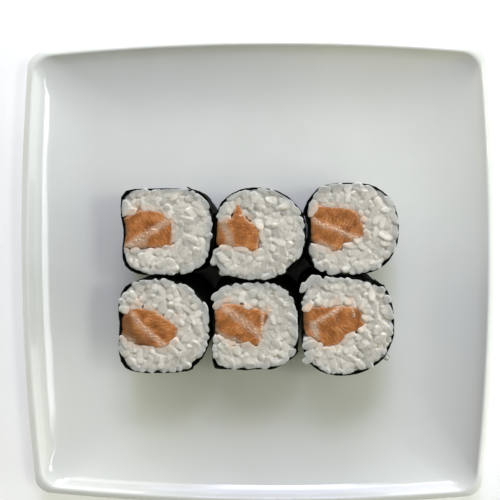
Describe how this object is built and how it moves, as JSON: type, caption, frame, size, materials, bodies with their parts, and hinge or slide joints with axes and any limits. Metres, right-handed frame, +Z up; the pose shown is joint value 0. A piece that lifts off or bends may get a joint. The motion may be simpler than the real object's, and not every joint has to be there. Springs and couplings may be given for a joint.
{
  "type": "plate of salmon maki sushi",
  "caption": "Square white porcelain coupe plate with salmon maki rolls standing on it in two close rows, cut ends up: a nori skin round a C of rice with a block of salmon in its mouth.",
  "frame": {"origin": "middle of the plate's foot, on the surface the plate stands on", "axes": "+Z up, +Y towards the plate's far side, +X to the right; the rolls' salmon lies at their -X side"},
  "size_m": [0.1624, 0.1606, 0.0364],
  "materials": {
    "porcelain": "glossy clear glaze over white porcelain",
    "nori": "near-black green pressed seaweed, damp, low sheen",
    "rice": "moist, slightly translucent white grains",
    "salmon": "moist, orange with paler fat lines"
  },
  "bodies": {
    "root": {"plate": "porcelain", "nori_back_left": "nori", "nori_back_middle": "nori", "nori_back_right": "nori", "nori_front_left": "nori", "nori_front_middle": "nori", "nori_front_right": "nori", "rice_back_left": "rice", "rice_back_middle": "rice", "rice_back_right": "rice", "rice_front_left": "rice", "rice_front_middle": "rice", "rice_front_right": "rice", "salmon_back_left": "salmon", "salmon_back_middle": "salmon", "salmon_back_right": "salmon", "salmon_front_left": "salmon", "salmon_front_middle": "salmon", "salmon_front_right": "salmon"}
  },
  "joints": []
}
